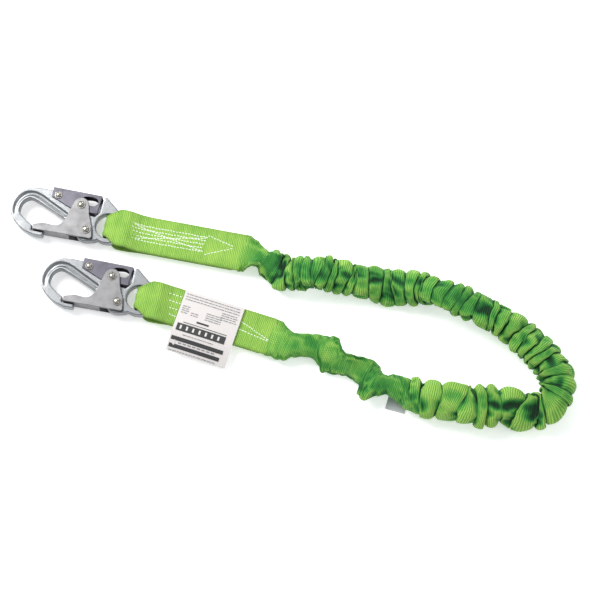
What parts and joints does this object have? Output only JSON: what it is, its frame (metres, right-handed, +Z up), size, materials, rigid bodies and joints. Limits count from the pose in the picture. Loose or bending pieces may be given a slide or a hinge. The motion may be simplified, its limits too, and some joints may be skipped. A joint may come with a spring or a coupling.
{
  "type": "shock absorbing lanyard",
  "caption": "Gathered tubular webbing lanyard with a stretching core, a self-locking snap hook in a sewn eye at each end and a folded label.",
  "frame": {"origin": "on the surface that the lanyard lies on, under the middle of its bounding box", "axes": "+X from the hooks towards the bend of the webbing, +Y from the labelled end towards the other end, +Z up"},
  "size_m": [0.6712, 0.3006, 0.032],
  "materials": {
    "forged_zinc": "bright zinc on a drop forging, satin",
    "pressed_zinc": "zinc plated pressed sheet, duller and darker",
    "rivet_steel": "polished domed rivet heads",
    "spring_steel": "oiled spring wire",
    "green_webbing": "bright green ribbed tubular webbing",
    "core_webbing": "cream stretch core",
    "label_sheet": null,
    "tag_sheet": "grey woven tag"
  },
  "bodies": {
    "lanyard": {"anchor_sewn_end": "green_webbing", "gathered_sleeve": "green_webbing", "stretch_core": "core_webbing", "inspection_tag": "tag_sheet"},
    "harness_end": {"harness_sewn_end": "green_webbing", "label_page": "label_sheet", "label_cover": "label_sheet"},
    "anchor_loop": {"anchor_eye_loop": "green_webbing"},
    "anchor_hook": {"anchor_hook_body": "forged_zinc", "anchor_gate_pivot_rivet": "rivet_steel", "anchor_lever_rivet": "rivet_steel", "anchor_gate_spring": "spring_steel", "anchor_lever_spring": "spring_steel"},
    "anchor_gate_body": {"anchor_gate": "pressed_zinc", "anchor_gate_stop_rivet": "rivet_steel"},
    "anchor_lever_body": {"anchor_lock_lever": "pressed_zinc"},
    "harness_loop": {"harness_eye_loop": "green_webbing"},
    "harness_hook": {"harness_hook_body": "forged_zinc", "harness_gate_pivot_rivet": "rivet_steel", "harness_lever_rivet": "rivet_steel", "harness_gate_spring": "spring_steel", "harness_lever_spring": "spring_steel"},
    "harness_gate_body": {"harness_gate": "pressed_zinc", "harness_gate_stop_rivet": "rivet_steel"},
    "harness_lever_body": {"harness_lock_lever": "pressed_zinc"}
  },
  "joints": [
    {"name": "shock_stretch", "type": "slide", "parent": "lanyard", "child": "harness_end", "axis": [-0.9796, 0.2011, 0], "range_m": [0, 0.457], "stiffness_N_per_m": 60, "deforming": ["gathered_sleeve", "stretch_core"]},
    {"name": "anchor_web_flex", "type": "hinge", "parent": "lanyard", "child": "anchor_loop", "pos_m": [-0.17924, 0.09265, 0.0095], "axis": [0.2011, 0.9796, 0], "range_deg": [0, 75]},
    {"name": "anchor_hook_swing", "type": "hinge", "parent": "anchor_loop", "child": "anchor_hook", "pos_m": [-0.21744, 0.10049, 0.012], "axis": [0, 0, -1], "range_deg": [-2, 25]},
    {"name": "anchor_gate_open", "type": "hinge", "parent": "anchor_hook", "child": "anchor_gate_body", "pos_m": [-0.24371, 0.09486, 0.012], "axis": [0, 0, -1], "range_deg": [0, 22], "stiffness_Nm_per_rad": 0.4, "springref_deg": -20.05, "deforming": ["anchor_gate_spring"]},
    {"name": "anchor_lever_press", "type": "hinge", "parent": "anchor_hook", "child": "anchor_lever_body", "pos_m": [-0.27814, 0.13949, 0.012], "axis": [0, 0, -1], "range_deg": [0, 9], "stiffness_Nm_per_rad": 0.3, "springref_deg": -17.19, "deforming": ["anchor_lever_spring"]},
    {"name": "harness_web_flex", "type": "hinge", "parent": "harness_end", "child": "harness_loop", "pos_m": [-0.13966, 0.00229, 0.0095], "axis": [0.2011, 0.9796, 0], "range_deg": [0, 75]},
    {"name": "harness_hook_swing", "type": "hinge", "parent": "harness_loop", "child": "harness_hook", "pos_m": [-0.17786, 0.01013, 0.012], "axis": [0, 0, 1], "range_deg": [-2, 25]},
    {"name": "harness_gate_open", "type": "hinge", "parent": "harness_hook", "child": "harness_gate_body", "pos_m": [-0.20413, 0.0045, 0.012], "axis": [0, 0, -1], "range_deg": [0, 22], "stiffness_Nm_per_rad": 0.4, "springref_deg": -20.05, "deforming": ["harness_gate_spring"]},
    {"name": "harness_lever_press", "type": "hinge", "parent": "harness_hook", "child": "harness_lever_body", "pos_m": [-0.23856, 0.04913, 0.012], "axis": [0, 0, -1], "range_deg": [0, 9], "stiffness_Nm_per_rad": 0.3, "springref_deg": -17.19, "deforming": ["harness_lever_spring"]}
  ],
  "couplings": [
    {"joint": "anchor_lever_press", "follows": "anchor_gate_open", "ratio": 0.40909},
    {"joint": "harness_lever_press", "follows": "harness_gate_open", "ratio": 0.40909}
  ]
}
